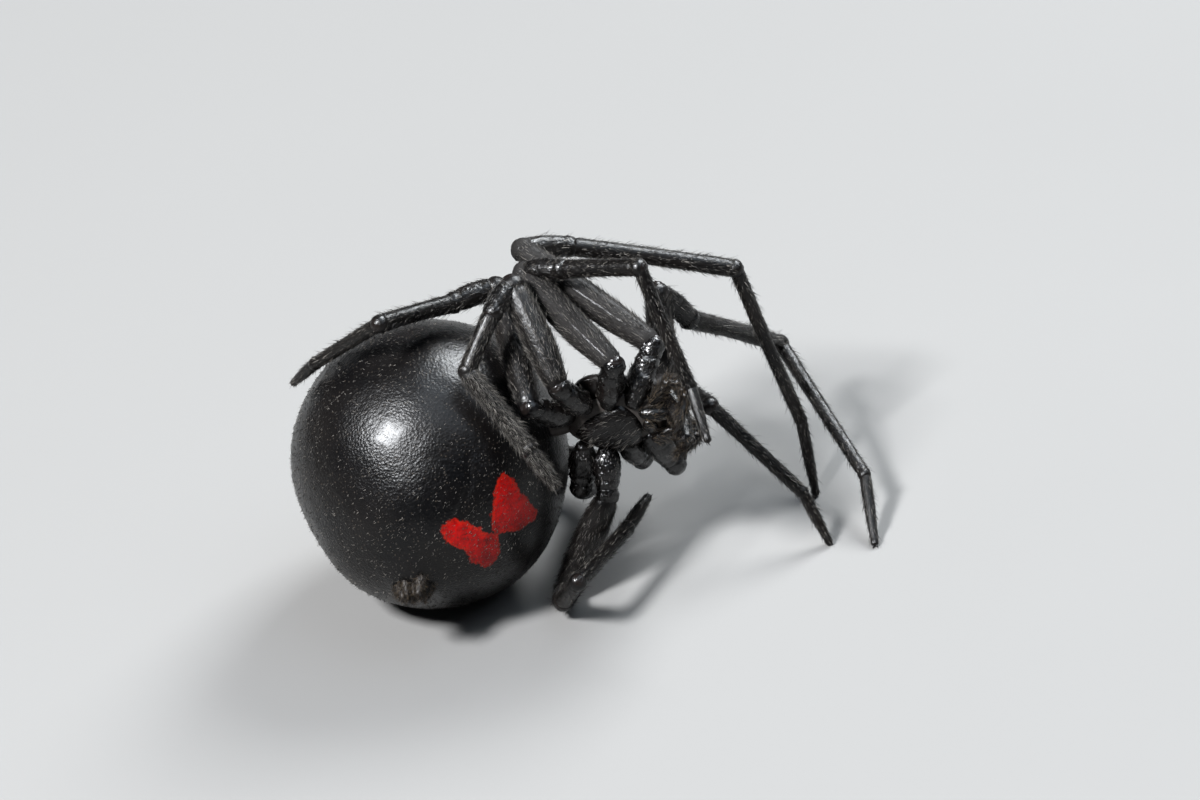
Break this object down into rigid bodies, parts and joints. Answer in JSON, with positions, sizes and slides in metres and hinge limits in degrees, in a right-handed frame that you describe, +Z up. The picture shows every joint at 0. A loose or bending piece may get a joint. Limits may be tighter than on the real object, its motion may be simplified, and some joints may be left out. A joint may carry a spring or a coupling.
{
  "type": "black widow spider figure",
  "caption": "Still life-size model of a female black widow spider lying on its side, belly to the viewer, legs drawn in, with a red hourglass on its globe-shaped abdomen.",
  "frame": {"origin": "on the floor under the abdomen, at the middle of the small flat on which it rests", "axes": "+Z up from the floor, +X from the abdomen toward the head, -Y on the belly side"},
  "size_m": [0.019, 0.0123, 0.0119],
  "materials": {
    "abdomen_skin": "satin black leathery skin with a fine grain",
    "hourglass_red": "smooth red marking",
    "shell_gloss": "glossy black shell plate",
    "leg_black": "glossy black with fine dark hair",
    "soft_brown": "dark brown-black, finely haired"
  },
  "bodies": {
    "root": {"abdomen": "abdomen_skin", "carapace": "shell_gloss", "chelicera_left": "shell_gloss", "chelicera_right": "shell_gloss", "hourglass": "hourglass_red", "labium": "soft_brown", "leg_l1_coxa": "shell_gloss", "leg_l1_femur": "leg_black", "leg_l1_metatarsus": "leg_black", "leg_l1_tibia": "leg_black", "leg_l2_coxa": "shell_gloss", "leg_l2_femur": "leg_black", "leg_l2_metatarsus": "leg_black", "leg_l2_tibia": "leg_black", "leg_l3_coxa": "shell_gloss", "leg_l3_femur": "leg_black", "leg_l3_metatarsus": "leg_black", "leg_l3_tibia": "leg_black", "leg_l4_coxa": "shell_gloss", "leg_l4_femur": "leg_black", "leg_l4_metatarsus": "leg_black", "leg_l4_tibia": "leg_black", "leg_r1_coxa": "shell_gloss", "leg_r1_femur": "leg_black", "leg_r1_metatarsus": "leg_black", "leg_r1_tibia": "leg_black", "leg_r2_coxa": "shell_gloss", "leg_r2_femur": "leg_black", "leg_r2_metatarsus": "leg_black", "leg_r2_tibia": "leg_black", "leg_r3_coxa": "shell_gloss", "leg_r3_femur": "leg_black", "leg_r3_metatarsus": "leg_black", "leg_r3_tibia": "leg_black", "leg_r4_coxa": "shell_gloss", "leg_r4_femur": "leg_black", "leg_r4_metatarsus": "leg_black", "leg_r4_tibia": "leg_black", "maxilla_left": "soft_brown", "maxilla_right": "soft_brown", "palp_left_femur": "leg_black", "palp_left_tarsus": "leg_black", "palp_right_femur": "leg_black", "palp_right_tarsus": "leg_black", "pedicel": "soft_brown", "spinnerets": "soft_brown", "sternum": "shell_gloss"}
  },
  "joints": []
}
